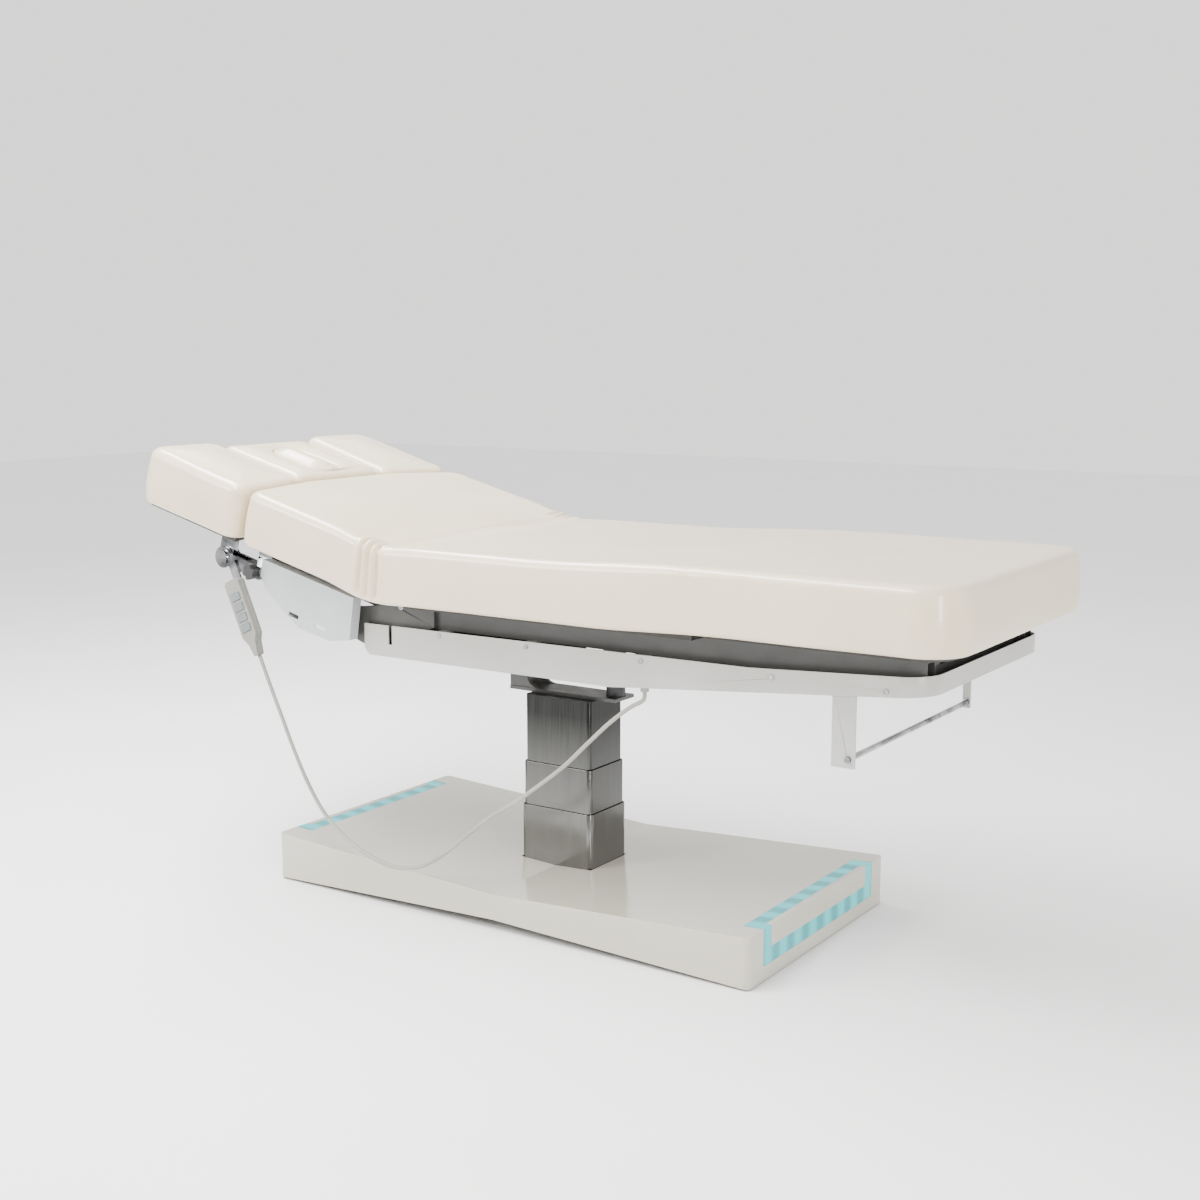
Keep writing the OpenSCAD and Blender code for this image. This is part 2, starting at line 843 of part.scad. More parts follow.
module arm_cushion() {
    corner_r = 45;
    color("#e9e1d5") intersection() {
        translate([0, 0, 18]) linear_extrude(pad_t + 5)
            polygon([[-454, half_w], [-490, 160], [-back_l, 160], [-back_l, half_w]]);
        linear_extrude(300) rounded_rect([-back_l, -half_w], [0, half_w], corner_r);
    }
}

module near_arm_board() {
    on_back() mirror([0, 1, 0]) arm_board();
}

module near_arm_cushion() {
    on_back() mirror([0, 1, 0]) arm_cushion();
}

module far_arm_board() {
    on_back() arm_board();
}

module far_arm_cushion() {
    on_back() arm_cushion();
}

// A clamping knob with finger lobes.
module knob() {
    color("#26282a") translate([knob_at.x, 0, knob_at.y]) rotate([-90, 0, 0]) {
        translate([0, 0, 318]) cylinder(r = 5, h = 32);
        translate([0, 0, 345]) difference() {
            cylinder(r = 18, h = 20);
            for (a = [0:60:300]) rotate(a) translate([20, 0, -1]) cylinder(r = 6, h = 22);
        }
    }
}

module near_knob() {
    on_back() mirror([0, 1, 0]) knob();
}

module far_knob() {
    on_back() knob();
}

// ---------- Handset ----------

key_size = [30, 17];
key_z = [-42, -68, -94, -120];

// Places a shape drawn with the handset hanging down from the origin, keys towards -Y.
module on_handset() {
    translate(handset_top) rotate([0, -handset_lean, 0]) children();
}

// Outline of the handset, seen from the front: it narrows to the cord's sleeve.
module handset_outline() {
    half = handset_w / 2;
    polygon([[-half, -6], [-half + 6, 0], [half - 6, 0], [half, -6], [half, -140], [12, -160],
        [6, -handset_l], [-6, -handset_l], [-12, -160], [-half, -140]]);
}

module handset_back() {
    color("#bcbcb6") on_handset() along_y(0, handset_t / 2) handset_outline();
}

module handset_front() {
    color("#d2d1cb") on_handset() difference() {
        along_y(-handset_t / 2, 0) handset_outline();
        for (z = key_z) block([-key_size.x / 2 - 0.6, -20, z - key_size.y / 2 - 0.6],
            [key_size.x / 2 + 0.6, -4, z + key_size.y / 2 + 0.6]);
    }
}

// A rocker key: it tips up or down about a pin along its length.
module rocker_key(i) {
    color("#8fa3ad") on_handset() translate([0, -6, key_z[i]]) {
        block([-key_size.x / 2, -8, -key_size.y / 2], [key_size.x / 2, -1, key_size.y / 2]);
        translate([-key_size.x / 2, 0, 0]) rotate([0, 90, 0]) cylinder(r = 1.6, h = key_size.x);
    }
}

base_shell();
base_rails();
base_crossmembers();
base_feet();
light_diffusers();
power_inlet();
control_box();
lift_motor();
lift_tube();
column_lower();
lower_glides();
column_middle();
middle_glides();
lift_tube_middle();
column_upper();
lift_rod();
tilt_saddle();
tilt_actuator();
tilt_rod();
chassis_rails();
chassis_beams();
hinge_brackets();
hinge_pins();
apron();
apron_screws();
seat_deck();
seat_pad();
back_actuator();
back_rod();
leg_actuator();
leg_rod();
roll_brackets();
roll_rod();
cord_gland();
handset_cord();
leg_rails();
leg_deck();
leg_pad();
back_rails();
back_crossmembers();
back_deck();
back_pad();
side_covers();
arm_brackets();
head_end_pins();
handset_front();
handset_back();
rocker_key(0);  // height_key
rocker_key(1);  // back_key
rocker_key(2);  // leg_key
rocker_key(3);  // tilt_key
head_plate();
head_cushion();
face_plug();
near_arm_board();
near_arm_cushion();
far_arm_board();
far_arm_cushion();
near_knob();
far_knob();
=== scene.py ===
"""Looks of the electric treatment couch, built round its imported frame. Metres.
+X points to the foot end, +Y to the side away from the handset, +Z up."""

import json
import math

import bmesh
import bpy
import numpy as np
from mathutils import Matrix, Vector, noise


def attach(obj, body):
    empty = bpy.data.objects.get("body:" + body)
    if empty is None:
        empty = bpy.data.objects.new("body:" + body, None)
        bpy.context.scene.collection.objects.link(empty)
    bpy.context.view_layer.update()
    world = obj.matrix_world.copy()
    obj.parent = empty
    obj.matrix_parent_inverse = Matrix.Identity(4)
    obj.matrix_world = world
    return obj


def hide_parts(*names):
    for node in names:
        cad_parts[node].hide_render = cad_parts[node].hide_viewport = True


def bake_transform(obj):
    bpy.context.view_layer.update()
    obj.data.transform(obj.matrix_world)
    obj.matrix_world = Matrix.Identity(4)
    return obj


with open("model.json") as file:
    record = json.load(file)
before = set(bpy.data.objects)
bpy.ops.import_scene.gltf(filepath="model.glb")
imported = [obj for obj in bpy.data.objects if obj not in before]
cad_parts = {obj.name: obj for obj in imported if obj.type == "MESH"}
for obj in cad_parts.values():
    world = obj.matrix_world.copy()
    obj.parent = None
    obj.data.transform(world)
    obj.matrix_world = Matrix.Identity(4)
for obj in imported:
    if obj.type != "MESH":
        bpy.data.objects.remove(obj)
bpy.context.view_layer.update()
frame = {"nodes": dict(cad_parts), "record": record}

# ---------- Camera ----------

cam_data = bpy.data.cameras.new("camera")
cam_data.lens, cam_data.sensor_width = 48.73, 36.0
camera = bpy.data.objects.new("camera", cam_data)
camera.location = (2.0906, -3.0677, 1.2757)
camera.rotation_mode = "QUATERNION"
camera.rotation_quaternion = Vector((-0.54848, 0.82214, -0.15250)).to_track_quat("-Z", "Y")
bpy.context.scene.collection.objects.link(camera)
bpy.context.scene.camera = camera

# ---------- Materials ----------


class Look:
    """A procedural material: a Principled shader and the textures that feed it."""

    def __init__(self, name, **values):
        self.material = bpy.data.materials.new(name)
        self.material.use_nodes = True
        self.tree = self.material.node_tree
        self.shader = self.tree.nodes["Principled BSDF"]
        for socket, value in values.items():
            self.shader.inputs[socket.replace("_", " ")].default_value = value
        self.coords = self.tree.nodes.new("ShaderNodeTexCoord").outputs["Object"]
        self.last_bump = None

    def node(self, kind, inputs=(), **settings):
        n = self.tree.nodes.new("ShaderNode" + kind)
        for k, v in settings.items():
            setattr(n, k, v)
        for k, v in dict(inputs).items():
            if isinstance(v, bpy.types.NodeSocket):
                self.tree.links.new(v, n.inputs[k])
            else:
                n.inputs[k].default_value = v
        return n

    def stretched(self, stretch):
        return self.node("Mapping", {"Vector": self.coords, "Scale": stretch}).outputs[0]

    def noise(self, scale, detail=3.0, stretch=(1, 1, 1), distortion=0.0):
        return self.node("TexNoise", {"Vector": self.stretched(stretch), "Scale": scale,
                                      "Detail": detail, "Distortion": distortion}).outputs["Fac"]

    def cells(self, scale, feature="DISTANCE_TO_EDGE"):
        return self.node("TexVoronoi", {"Vector": self.coords, "Scale": scale},
                         feature=feature).outputs["Distance"]

    def between(self, fac, low, high):
        return self.node("MapRange", {"Value": fac, "From Min": 0.3, "From Max": 0.7,
                                      "To Min": low, "To Max": high}).outputs[0]

    def tint(self, fac, dark, light, low=0.3, high=0.7):
        ramp = self.node("ValToRGB", {"Fac": fac})
        ramp.color_ramp.elements[0].position, ramp.color_ramp.elements[1].position = low, high
        ramp.color_ramp.elements[0].color = (*dark, 1)
        ramp.color_ramp.elements[1].color = (*light, 1)
        self.tree.links.new(ramp.outputs["Color"], self.shader.inputs["Base Color"])
        return self

    def rough(self, fac, low, high):
        self.tree.links.new(self.between(fac, low, high), self.shader.inputs["Roughness"])
        return self

    def bump(self, height, distance, strength=1.0):
        n = self.node("Bump", {"Height": height, "Distance": distance, "Strength": strength})
        if self.last_bump is not None:
            self.tree.links.new(self.last_bump, n.inputs["Normal"])
        self.last_bump = n.outputs[0]
        self.tree.links.new(self.last_bump, self.shader.inputs["Normal"])
        return self


def leatherette():
    """Pearl cream coated fabric: fine pebble grain, slow undulation, faint sheen."""
    k = Look("leatherette", Coat_Weight=0.5, Coat_Roughness=0.12, Specular_IOR_Level=0.5)
    k.tint(k.noise(5, 4), (0.620, 0.520, 0.368), (0.675, 0.575, 0.415))
    k.rough(k.noise(40, 3), 0.30, 0.40)
    k.bump(k.noise(7, 2, distortion=0.6), 0.005, 0.2)
    k.bump(k.cells(620), 0.00035, 0.35)
    return k.bump(k.noise(1900, 2), 0.0001, 0.25)


def gloss_shell():
    """Lacquered cover of the base: clear coat over a pale grey body."""
    k = Look("base_gloss", Coat_Weight=0.6, Coat_Roughness=0.06)
    k.tint(k.noise(3, 3), (0.415, 0.387, 0.318), (0.450, 0.421, 0.350))
    k.rough(k.noise(12, 4), 0.16, 0.24)
    return k.bump(k.noise(160, 2), 0.0002, 0.08)


def enamel(name, dark, light, low, high, peel=0.12):
    """Painted or moulded parts: slight colour drift and an orange-peel surface."""
    k = Look(name)
    k.tint(k.noise(9, 4), dark, light)
    k.rough(k.noise(30, 3), low, high)
    return k.bump(k.noise(420, 2), 0.0003, peel)


def polished(name, dark, light, low, high, stretch=(1, 1, 0.02), fine=700, strength=0.12):
    """Metal whose colour swings between dark and light with a noise: painted reflections, drawn
    out into lines along one direction when the noise is stretched.
    """
    k = Look(name, Metallic=1.0)
    tone_noise = k.noise(fine, 3, stretch)
    # The colour follows the noise from dark to light; on the chrome trim this is painted
    # reflections.
    k.tint(tone_noise, dark, light)
    k.rough(k.noise(25, 3, stretch), low, high)
    return k.bump(tone_noise, 0.0001, strength)


def column_steel():
    """Drawn steel with a painted reflection in its colour: near black at the top of the column,
    lighter grey towards the bottom, standing in for the pale base reflected there.
    """
    k = Look("column_steel", Metallic=1.0)
    tone_noise = k.noise(420, 3, (1, 1, 0.02))
    # Painted reflection: the colour climbs from near black at z 0.44 to lighter grey at z 0.12, as
    # the pale base would reflect low on the column.
    height = k.node("SeparateXYZ", {"Vector": k.coords}).outputs["Z"]
    painted_reflection = k.node("MapRange", {"Value": height, "From Min": 0.44, "From Max": 0.12,
                               "To Min": 0.0, "To Max": 0.75}).outputs[0]
    drift = k.between(tone_noise, 0.0, 0.07)
    k.tint(k.node("Math", {0: painted_reflection, 1: drift}, operation="ADD").outputs[0],
           (0.016, 0.0164, 0.0158), (0.190, 0.190, 0.182), 0.0, 1.0)
    k.rough(k.noise(25, 3, (1, 1, 0.02)), 0.16, 0.24)
    return k.bump(tone_noise, 0.0001, 0.03)


def shade_dark_board():
    """Plywood with its grain along the couch, coloured near black as painted shade for the dark
    under the mattress.
    """
    k = Look("deck_board")
    # Painted shade: these near-black colours stand in for the shade under the mattress.
    k.tint(k.noise(26, 6, (0.12, 1, 3), 1.2), (0.020, 0.018, 0.016), (0.042, 0.037, 0.033))
    k.rough(k.noise(60, 3), 0.5, 0.66)
    return k.bump(k.noise(240, 5, (0.08, 1, 2)), 0.0004, 0.3)


def light_band():
    """A milky diffuser with soft bright spots where its lamps are."""
    k = Look("light_band", Base_Color=(0.02, 0.20, 0.22, 1), Emission_Strength=0.7)
    lamps = k.node("TexWave", {"Vector": k.coords, "Scale": 4.6, "Distortion": 1.2, "Detail": 1.0},
                   bands_direction="Y").outputs["Fac"]
    ramp = k.node("ValToRGB", {"Fac": lamps})
    ramp.color_ramp.elements[0].position, ramp.color_ramp.elements[1].position = 0.15, 0.85
    ramp.color_ramp.elements[0].color = (0.0, 0.30, 0.33, 1)
    ramp.color_ramp.elements[1].color = (0.10, 0.90, 0.92, 1)
    k.tree.links.new(ramp.outputs["Color"], k.shader.inputs["Emission Color"])
    k.rough(k.noise(20, 2), 0.3, 0.4)
    return k.bump(k.noise(300, 2), 0.0002, 0.1)


looks = {
    "upholstery": leatherette(),
    "base_gloss": gloss_shell(),
    "frame_dark": enamel("frame_dark", (0.040, 0.040, 0.038), (0.060, 0.060, 0.057), 0.38, 0.5),
    "apron_satin": enamel("apron_satin", (0.345, 0.345, 0.325), (0.385, 0.385, 0.364), 0.3, 0.4),
    "cover_grey": enamel("cover_grey", (0.375, 0.405, 0.415), (0.415, 0.446, 0.456), 0.32, 0.42),
    "column_steel": column_steel(),
    # Chrome: coarse unstretched noise swings its colour from near black to light grey, painted
    # reflections.
    "chrome_trim": polished("chrome_trim", (0.09, 0.094, 0.10), (0.50, 0.51, 0.53), 0.07, 0.15,
                            (1, 1, 1), 24, 0.03),
    "drive_black": enamel("drive_black", (0.018, 0.018, 0.020),
                          (0.036, 0.036, 0.038), 0.45, 0.6, 0.3),
    "deck_board": shade_dark_board(),
    "handset_shell": enamel("handset_shell", (0.200, 0.197, 0.178),
                            (0.236, 0.233, 0.212), 0.36, 0.5, 0.25),
    "key_plastic": enamel("key_plastic", (0.135, 0.155, 0.162),
                          (0.175, 0.195, 0.202), 0.32, 0.45, 0.2),
    "cord_sheath": enamel("cord_sheath", (0.235, 0.230, 0.208),
                          (0.285, 0.280, 0.255), 0.4, 0.55, 0.3),
    "glide_plastic": enamel("glide_plastic", (0.68, 0.67, 0.62), (0.76, 0.75, 0.71), 0.4, 0.5),
    "foot_rubber": enamel("foot_rubber", (0.020, 0.020, 0.020),
                          (0.034, 0.034, 0.034), 0.6, 0.8, 0.5),
    "light_band": light_band(),
}

# ---------- CAD nodes that are shown as they are ----------

# Widths of the rounded edges, by node, where they are not EDGE.
EDGE = 0.0007
EDGES = {"base_shell": 0.0016, "apron": 0.0009, "side_covers": 0.001, "handset_front": 0.0011,
         "handset_back": 0.0035, "light_diffusers": 0.0006, "column_upper": 0.0008,
         "near_knob": 0.0018, "far_knob": 0.0018, "arm_brackets": 0.0016,
         "control_box": 0.003, "lift_motor": 0.002, "back_actuator": 0.002,
         "leg_actuator": 0.002, "tilt_actuator": 0.002, "roll_brackets": 0.0008}

slot_of = {s["node"]: s["material_slot"] for s in frame["record"]["subparts"]}
for name, node in frame["nodes"].items():
    node.data.materials.clear()
    node.data.materials.append(looks[slot_of[name]].material)
    if name == "handset_cord":
        continue
    weld = node.modifiers.new("weld", "WELD")
    weld.merge_threshold = 0.00002
    bevel = node.modifiers.new("edges", "BEVEL")
    bevel.width, bevel.segments = EDGES.get(name, EDGE), 2
    bevel.limit_method, bevel.angle_limit = "ANGLE", math.radians(35)
    bevel.harden_normals = False

# The backrest as it stands: its hinge and its rise.
HINGE = np.array([-0.3, 0.7])
RISE = math.radians(14.4)

# The lugs under the arm boards, up to this height over the hinge, are bright metal.
LUG_TOP = 0.0079
for name in ("near_arm_board", "far_arm_board"):
    data = frame["nodes"][name].data
    data.materials.append(looks["chrome_trim"].material)
    for f in data.polygons:
        off_hinge = (f.center.x - HINGE[0], f.center.z - HINGE[1])
        height = off_hinge[0] * math.sin(RISE) + off_hinge[1] * math.cos(RISE)
        f.material_index = int(height < LUG_TOP)

# ---------- Mesh helpers ----------


def piece(name, verts, faces, slot):
    mesh = bpy.data.meshes.new(name)
    mesh.from_pydata([tuple(v) for v in verts], [], [tuple(f) for f in faces])
    mesh.validate()
    mesh.shade_smooth()
    mesh.materials.append(looks[slot].material)
    obj = bpy.data.objects.new(name, mesh)
    bpy.context.scene.collection.objects.link(obj)
    return obj


def smooth(t):
    t = np.clip(t, 0, 1)
    return t * t * (3 - 2 * t)


def rounded(corners, step):
    """A closed outline from corners (x, y, radius): straight runs and arcs, with even points."""
    pts = np.array([c[:2] for c in corners], float)
    out = []
    for i, (x, y, r) in enumerate(corners):
        here, back, ahead = pts[i], pts[i - 1], pts[(i + 1) % len(pts)]
        u = (back - here) / np.linalg.norm(back - here)
        v = (ahead - here) / np.linalg.norm(ahead - here)
        half = math.acos(np.clip(u @ v, -1, 1)) / 2
        reach = r / math.tan(half)
        a, b = here + u * reach, here + v * reach
        centre = here + (u + v) / np.linalg.norm(u + v) * r / math.sin(half)
        n = max(3, int(r * (math.pi - 2 * half) / step * 1.6))
        w0, w1 = a - centre, b - centre
        turn = math.acos(np.clip(w0 @ w1 / (r * r), -1, 1))
        for k in range(n + 1):
            t = k / n
            w = (math.sin((1 - t) * turn) * w0 + math.sin(t * turn) * w1) / math.sin(turn)
            out.append(centre + w)
    full = []
    for p, q in zip(out, out[1:] + out[:1]):
        n = max(1, round(np.linalg.norm(q - p) / step))
        full += [p + (q - p) * k / n for k in range(n)]
    return np.array(full)


def inward(loop):
    """Unit normals of a closed counter-clockwise outline, pointing in."""
    d = np.roll(loop, -1, 0) - np.roll(loop, 1, 0)
    d /= np.linalg.norm(d, axis=1)[:, None]
    return np.stack([-d[:, 1], d[:, 0]], 1)


def skin(rings, closed=False):
    """Faces between rings of equal length; `closed` joins the last ring to the first."""
    n, m = len(rings[0]), len(rings)
    return [(i * n + k, i * n + (k + 1) % n, (i + 1) % m * n + (k + 1) % n, (i + 1) % m * n + k)
            for i in range(m if closed else m - 1) for k in range(n)]


def stuffed(name, rings, closed, relief, place, keep=None):
    """Welds rings into a skin, pushes it along its normals by relief(points, normals), moves it
    by place(points), and leaves only the faces whose centre passes `keep`."""
    obj = piece(name, np.concatenate(rings), skin(rings, closed), "upholstery")
    bm = bmesh.new()
    bm.from_mesh(obj.data)
    bmesh.ops.remove_doubles(bm, verts=bm.verts, dist=1e-5)
    bmesh.ops.recalc_face_normals(bm, faces=bm.faces)
    bm.normal_update()
    co = np.array([v.co for v in bm.verts])
    normals = np.array([v.normal for v in bm.verts])
    flat_x = [f.calc_center_median().x for f in bm.faces]
    co = place(co + normals * relief(co, normals)[:, None])
    for v, p in zip(bm.verts, co):
        v.co = p
    if keep:
        bmesh.ops.delete(bm, geom=[f for f, x in zip(list(bm.faces), flat_x) if not keep(x)],
                         context="FACES")
    bm.to_mesh(obj.data)
    bm.free()
    obj.data.shade_smooth()
    return obj


def pad_rings(loop, medial, low, high, r_low, r_high, crown, bulge=0.003, inner=14):
    """Rings of a solid pad, from the middle of its underside round the edge to the middle of
    its top. low and high give the heights of its faces at points (x, y)."""
    n_in = inward(loop)
    rings = []

    def add(inset, share, height):
        p = loop + n_in * inset
        p = p + (medial - p) * share
        z = low(p) + (high(p) - low(p)) * height
        z = z + crown * smooth(share + (0.12 if height == 1 else 0)) * (height == 1)
        rings.append(np.column_stack([p, z]))

    thick = float((high(loop) - low(loop)).mean())
    for t in np.linspace(1, 0.2, 5):
        add(r_low, t, 0)
    for a in np.linspace(0, math.pi / 2, 5):
        add(r_low * (1 - math.sin(a)), 0, r_low * (1 - math.cos(a)) / thick)
    for t in np.linspace(0, 1, 10)[1:-1]:
        h = (r_low + (thick - r_low - r_high) * t) / thick
        add(-bulge * math.sin(math.pi * t), 0, h)
    for a in np.linspace(0, math.pi / 2, 10):
        add(r_high * (1 - math.cos(a)), 0, 1 - r_high * (1 - math.sin(a)) / thick)
    for t in (np.linspace(0, 1, inner + 1) ** 1.25)[1:]:
        add(r_high, t, 1)
    return rings


def wander(co, scale, seed):
    return np.array([noise.noise(Vector(p) * scale + Vector((seed, 3 * seed, 7))) for p in co])


def on_back(co, share=1.0):
    """Turns points drawn with the backrest level about its hinge, by a share of its rise."""
    a = RISE * np.asarray(share)
    x, z = co[:, 0] - HINGE[0], co[:, 2] - HINGE[1]
    return np.column_stack([HINGE[0] + x * np.cos(a) + z * np.sin(a), co[:, 1],
                            HINGE[1] - x * np.sin(a) + z * np.cos(a)])


# ---------- Mattress: one cover over seat, backrest and leg section ----------

# Heights of the pads' faces and the radius of their lower edges, with the backrest level.
PAD_LOW, PAD_HIGH = 0.718, 0.847
LOW_R = 0.010
HALF_W = 0.388
# Where the bend over the back hinge starts and ends.
FOLD = (-0.190, -0.460)
# Where the cover is split between its two meshes.
SPLIT = 0.17
mattress_loop = rounded([(-0.776, -0.155, 0.09), (-0.738, -HALF_W, 0.045),
                         (1.050, -HALF_W, 0.092), (1.050, HALF_W, 0.092),
                         (-0.738, HALF_W, 0.045), (-0.776, 0.155, 0.09)], 0.0058)
# The half on the near side is mirrored, so both sides have the same points.
head_middle = int(np.argmin(mattress_loop[:, 0] * 9 + np.abs(mattress_loop[:, 1])))
at_head = np.roll(mattress_loop, -head_middle, 0)
near = at_head[at_head[:, 1] < -0.001]
mattress_loop = np.concatenate([near, near[::-1] * [1, -1]])


def legs_rise(p):
    """The underside climbs a little under the leg section."""
    return 0.009 * smooth((p[:, 0] - 0.26) / 0.36)


def mattress_low(p):
    return PAD_LOW + legs_rise(p)


def mattress_high(p):
    """The top climbs a little from the seat to the leg section."""
    return PAD_HIGH + 0.013 * smooth((p[:, 0] - 0.1) / 0.42)


PLEATS = (-0.356, -0.330, -0.304)


def mattress_relief(co, normals):
    """Side pleats and a top fold at the back hinge, a crease at the leg hinge, and a low seam."""
    x, y, z = co.T
    side = smooth((np.abs(y) - (HALF_W - 0.075)) / 0.045)
    low = smooth((z - PAD_LOW - 0.004) / 0.02)
    d = np.zeros(len(co))
    for p in PLEATS:
        bow = p + 0.004 * np.sin((z - PAD_LOW) * 26)
        d -= 0.0120 * np.exp(-((x - bow) / 0.0062) ** 2) * side * low
        d += 0.0038 * np.exp(-((np.abs(x - bow) - 0.015) / 0.008) ** 2) * side * low
    top = smooth((z - PAD_HIGH + 0.02) / 0.02)
    fold = x + 0.316 + 0.006 * np.sin(y * 9 + 0.6)
    d -= 0.0052 * np.exp(-(fold / 0.011) ** 2) * top * (1 - 0.6 * side)
    d -= 0.0024 * np.exp(-((fold - 0.033) / 0.008) ** 2) * top * (1 - side)
    d += 0.0020 * np.exp(-((fold - 0.016) / 0.010) ** 2) * top * (1 - side)
    d -= 0.0010 * np.exp(-((x - 0.505) / 0.014) ** 2) * smooth((z - PAD_LOW) / 0.05)
    seam = np.exp(-((z - mattress_low(co) - 0.017) / 0.0022) ** 2)
    d -= 0.0016 * seam * (np.abs(normals[:, 2]) < 0.6)
    return d + 0.0009 * wander(co, 6, 1.0)


def mattress_place(co):
    return on_back(co, smooth((co[:, 0] - FOLD[0]) / (FOLD[1] - FOLD[0])))


medial = np.column_stack([np.clip(mattress_loop[:, 0], -0.60, 0.72), np.zeros(len(mattress_loop))])
mattress = pad_rings(mattress_loop, medial, mattress_low, mattress_high, LOW_R, 0.021, 0.004,
                     inner=24)
stations = mattress_loop[mattress_loop[:, 1] < 0.008 - HALF_W, 0]
split_x = float(stations[np.argmin(np.abs(stations - SPLIT))])
back_cover = stuffed("mattress_back_cover", mattress, False, mattress_relief, mattress_place,
                     lambda x: x < split_x)
leg_cover = stuffed("mattress_leg_cover", mattress, False, mattress_relief, mattress_place,
                    lambda x: x > split_x)
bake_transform(back_cover)
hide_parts("back_pad", "seat_pad")
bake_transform(leg_cover)
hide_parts("leg_pad")

# ---------- Head end: two arm blocks, headrest cushion and face plug ----------


SEAM_Z = 0.735


def flat(z):
    return lambda p: np.full(len(p), z)


def arm_high(p):
    return PAD_HIGH + 0.006 * smooth((-0.82 - p[:, 0]) / 0.24)


def small_relief(seed):
    """Slight unevenness and a seam round the sides, low down."""
    def relief(co, normals):
        seam = np.exp(-((co[:, 2] - SEAM_Z) / 0.0022) ** 2) * (np.abs(normals[:, 2]) < 0.6)
        return 0.0010 * wander(co, 9, seed) - 0.0015 * seam
    return relief


for side, name in ((-1, "near_arm"), (1, "far_arm")):
    outline = rounded([(-0.752, 0.388, 0.036), (-0.7895, 0.162, 0.04), (-1.094, 0.162, 0.04),
                       (-1.094, 0.388, 0.050)][::-1], 0.006)
    loop = outline if side > 0 else (outline * [1, -1])[::-1]
    mid = np.column_stack([np.clip(loop[:, 0], -0.99, -0.87), np.full(len(loop), side * 0.275)])
    rings = pad_rings(loop, mid, flat(PAD_LOW), arm_high, LOW_R, 0.023, 0.008, inner=14)
    block = stuffed(name + "_block", rings, False, small_relief(2.0 + side), on_back)
    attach(block, name)
    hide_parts(name + "_cushion")


def stadium(half_l, r, n, centre_x):
    """A long round-ended outline, counter-clockwise, with n points from its foot end."""
    quarter, run = math.pi * r / 2, 2 * half_l
    out = []
    for a in np.linspace(0, 1, n, endpoint=False) * (4 * quarter + 2 * run):
        if a < quarter:
            out.append((half_l + r * math.cos(a / r), r * math.sin(a / r)))
        elif a < quarter + run:
            out.append((half_l - (a - quarter), r))
        elif a < 3 * quarter + run:
            turn = (a - run) / r
            out.append((-half_l + r * math.cos(turn), r * math.sin(turn)))
        elif a < 3 * quarter + 2 * run:
            out.append((-half_l + (a - 3 * quarter - run), -r))
        else:
            turn = (a - 2 * run) / r
            out.append((half_l + r * math.cos(turn), r * math.sin(turn)))
    return np.array(out) + [centre_x, 0]


# The face hole: its centre, half the length of its straight sides, and the radius of its ends.
HOLE_X = HINGE[0] - 0.626
HOLE_HALF, HOLE_R = 0.047, 0.0484
n_round = 200
hole = stadium(HOLE_HALF, HOLE_R, n_round, HOLE_X)
outer_all = rounded([(-0.795, -0.150, 0.03), (-0.795, 0.150, 0.03), (-1.082, 0.150, 0.034),
                     (-1.082, -0.150, 0.034)], 0.002)
# The cushion's outline gets as many points as the hole's, each in the same direction.
angles = np.arctan2(outer_all[:, 1], outer_all[:, 0] - HOLE_X)
want = np.arctan2(hole[:, 1], hole[:, 0] - HOLE_X)
outer = outer_all[[int(np.argmin(np.abs(np.angle(np.exp(1j * (angles - w)))))) for w in want]]
o_in, h_in = inward(outer), inward(hole)
rings = []
r_out, r_hole = 0.022, 0.009


def head_ring(p, z):
    rings.append(np.column_stack([p, np.full(len(p), z)]))


for a in np.linspace(0, math.pi / 2, 5):
    head_ring(outer + o_in * LOW_R * (1 - math.sin(a)), PAD_LOW + LOW_R * (1 - math.cos(a)))
for t in np.linspace(0, 1, 8)[1:-1]:
    head_ring(outer - o_in * 0.002 * math.sin(math.pi * t),
              PAD_LOW + LOW_R + (PAD_HIGH - PAD_LOW - LOW_R - r_out) * t)
for a in np.linspace(0, math.pi / 2, 9):
    head_ring(outer + o_in * r_out * (1 - math.cos(a)), PAD_HIGH - r_out * (1 - math.sin(a)))
shore = outer + o_in * r_out
lip = hole - h_in * r_hole
for t in np.linspace(0, 1, 12)[1:-1]:
    head_ring(shore + (lip - shore) * t, PAD_HIGH + 0.005 * math.sin(math.pi * t))
for a in np.linspace(0, math.pi / 2, 6):
    head_ring(lip + h_in * r_hole * math.sin(a), PAD_HIGH - r_hole * (1 - math.cos(a)))
for t in np.linspace(0, 1, 6)[1:]:
    head_ring(hole, PAD_HIGH - r_hole - (PAD_HIGH - r_hole - PAD_LOW) * t)
head = stuffed("headrest_pad", rings, True, small_relief(5.0), on_back)
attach(head, "headrest")
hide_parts("head_cushion")

PLUG_R = 0.0476
PLUG_LOW, PLUG_HIGH = 0.719, 0.849
plug_loop = stadium(HOLE_HALF, PLUG_R, n_round, HOLE_X)
mid = np.column_stack([np.clip(plug_loop[:, 0], HOLE_X - HOLE_HALF, HOLE_X + HOLE_HALF),
                       np.zeros(n_round)])
plug_rings = pad_rings(plug_loop, mid, flat(PLUG_LOW), flat(PLUG_HIGH), 0.005, 0.011, 0.010,
                       bulge=0.0, inner=10)


def plug_relief(co, normals):
    """A stitched groove along the edge of the plug's top."""
    edge = np.hypot(np.maximum(np.abs(co[:, 0] - HOLE_X) - HOLE_HALF, 0), co[:, 1])
    top = smooth((co[:, 2] - 0.83) / 0.01)
    return -0.0016 * np.exp(-((edge - 0.0355) / 0.0016) ** 2) * top + 0.0006 * wander(co, 12, 9.0)


plug = stuffed("face_hole_plug", plug_rings, False, plug_relief, on_back)
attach(plug, "face_plug")
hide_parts("face_plug")

# ---------- Handset cord ----------

CORD_D, CORD_SIDES = 0.009, 16
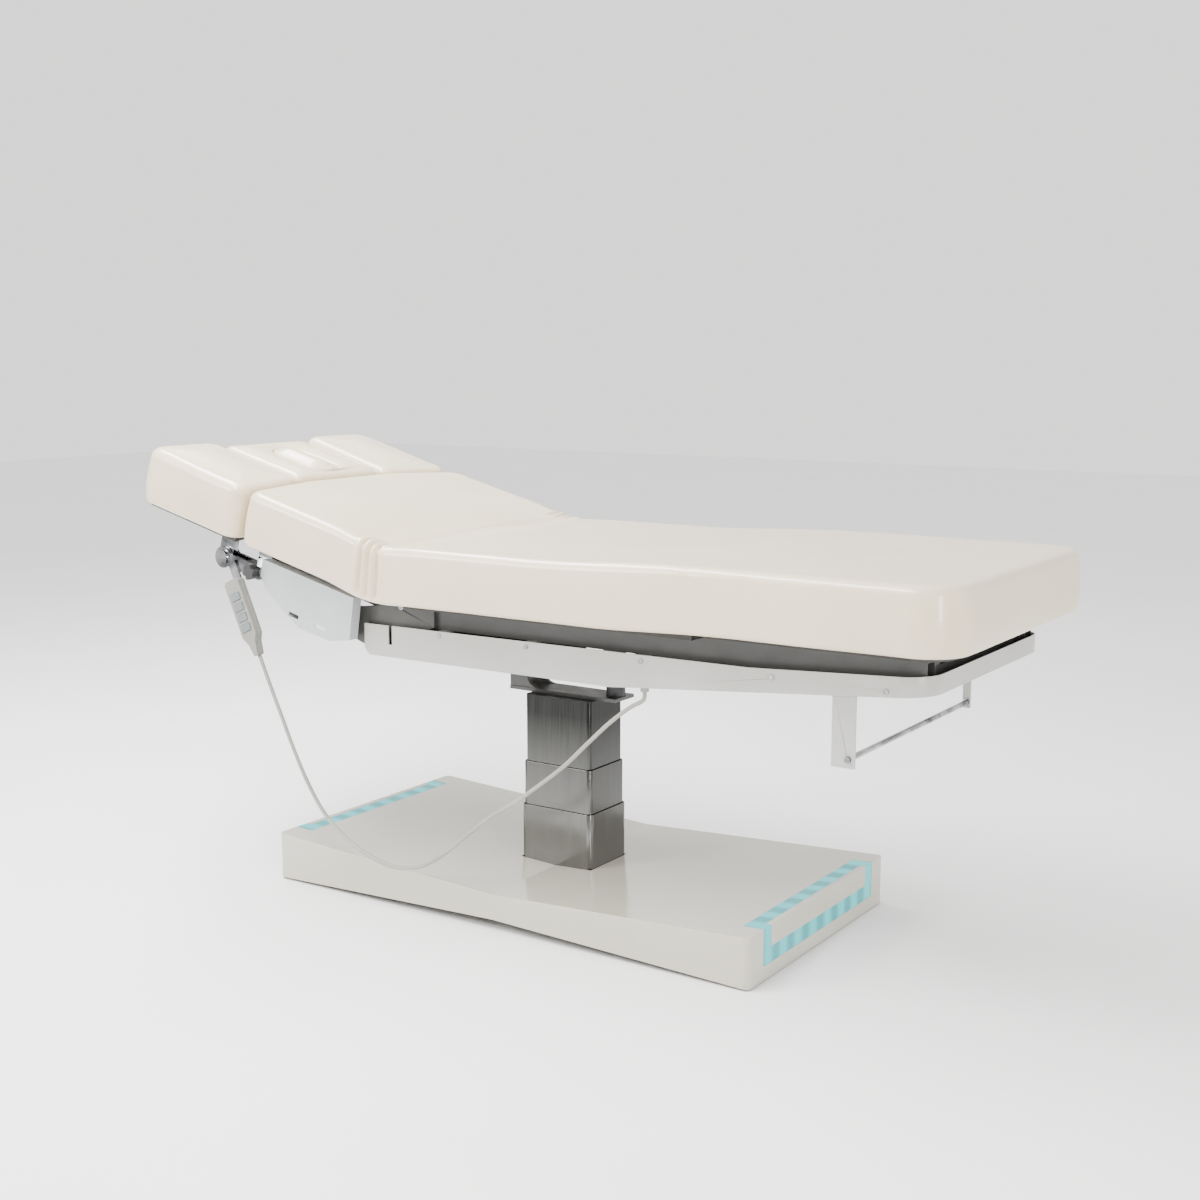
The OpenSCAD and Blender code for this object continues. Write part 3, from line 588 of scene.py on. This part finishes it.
# From the gland under the apron to the sleeve of the handset.
ROUTE = [(0.350, -0.293, 0.5798), (0.3465, -0.294, 0.561), (0.318, -0.301, 0.543),
         (0.276, -0.312, 0.508), (0.226, -0.322, 0.458), (0.172, -0.329, 0.404),
         (0.110, -0.333, 0.354), (0.046, -0.336, 0.306), (-0.022, -0.338, 0.262),
         (-0.086, -0.341, 0.210), (-0.148, -0.343, 0.158), (-0.215, -0.345, 0.118),
         (-0.290, -0.347, 0.104), (-0.365, -0.350, 0.118), (-0.438, -0.352, 0.152),
         (-0.498, -0.354, 0.200), (-0.545, -0.356, 0.264), (-0.584, -0.358, 0.336),
         (-0.620, -0.359, 0.412), (-0.655, -0.360, 0.486), (-0.6871, -0.361, 0.5581)]


def through(points, steps):
    """A smooth line through the points."""
    p = [np.array(q) for q in points]
    p = [p[0], *p, p[-1]]
    out = []
    for a, b, c, d in zip(p, p[1:], p[2:], p[3:]):
        for k in range(steps):
            t = k / steps
            out.append(b + 0.5 * t * (c - a + t * (2 * a - 5 * b + 4 * c - d
                                                   + t * (3 * (b - c) + d - a))))
    return np.array(out + [p[-1]])


def tube(line, radius, sides):
    """Rings of points round a line."""
    rings = []
    for i, here in enumerate(line):
        along = line[min(i + 1, len(line) - 1)] - line[max(i - 1, 0)]
        along = along / np.linalg.norm(along)
        u = np.cross(along, (0, 1, 0))
        u /= np.linalg.norm(u)
        v = np.cross(u, along)
        rings.append([here + radius * (math.cos(a) * u + math.sin(a) * v)
                      for a in np.arange(sides) * 2 * math.pi / sides])
    return rings


line = through(ROUTE, 6)
rings = tube(line, CORD_D / 2, CORD_SIDES)
last = (len(rings) - 1) * CORD_SIDES
faces = skin(rings) + [tuple(range(CORD_SIDES))[::-1], tuple(range(last, last + CORD_SIDES))]
cord = piece("handset_lead", np.concatenate(rings), faces, "cord_sheath")
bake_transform(cord)
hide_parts("handset_cord")

# ---------- Floor, light and surroundings ----------

floor_look = Look("floor")
floor_look.tint(floor_look.noise(1.5, 3), (0.87, 0.87, 0.87), (0.90, 0.90, 0.90))
floor_look.rough(floor_look.noise(4, 3), 0.5, 0.6)
floor_mesh = bpy.data.meshes.new("floor")
FAR = 14
floor_mesh.from_pydata([(-FAR, -FAR, 0), (FAR, -FAR, 0), (FAR, FAR, 0), (-FAR, FAR, 0)], [],
                       [(0, 1, 2, 3)])
floor_mesh.materials.append(floor_look.material)
floor = bpy.data.objects.new("floor", floor_mesh)
bpy.context.scene.collection.objects.link(floor)

world = bpy.data.worlds.new("studio")
world.use_nodes = True
world.node_tree.nodes["Background"].inputs["Color"].default_value = (1.0, 0.99, 0.98, 1)
world.node_tree.nodes["Background"].inputs["Strength"].default_value = 1.6
bpy.context.scene.world = world


def softbox(name, place, aim, size, power, colour=(1, 1, 1)):
    data = bpy.data.lights.new(name, "AREA")
    data.shape, data.size, data.size_y = "RECTANGLE", size[0], size[1]
    data.energy, data.color = power, colour
    lamp = bpy.data.objects.new(name, data)
    lamp.location = place
    lamp.rotation_mode = "QUATERNION"
    lamp.rotation_quaternion = (Vector(aim) - Vector(place)).to_track_quat("-Z", "Y")
    bpy.context.scene.collection.objects.link(lamp)


softbox("overhead", (-1.1, -0.65, 3.2), (-0.6, -0.25, 0.8), (4.8, 0.6), 380)
softbox("key", (-2.2, -3.0, 2.4), (0, 0, 0.6), (1.4, 1.2), 130, (1.0, 0.98, 0.95))
softbox("corner_strip", (3.3, -1.95, 1.05), (1.0, -0.35, 0.78), (0.4, 1.3), 55, (1.0, 0.98, 0.94))
softbox("foot_fill", (3.6, 0.6, 1.6), (0.4, 0, 0.5), (1.8, 2.0), 25)
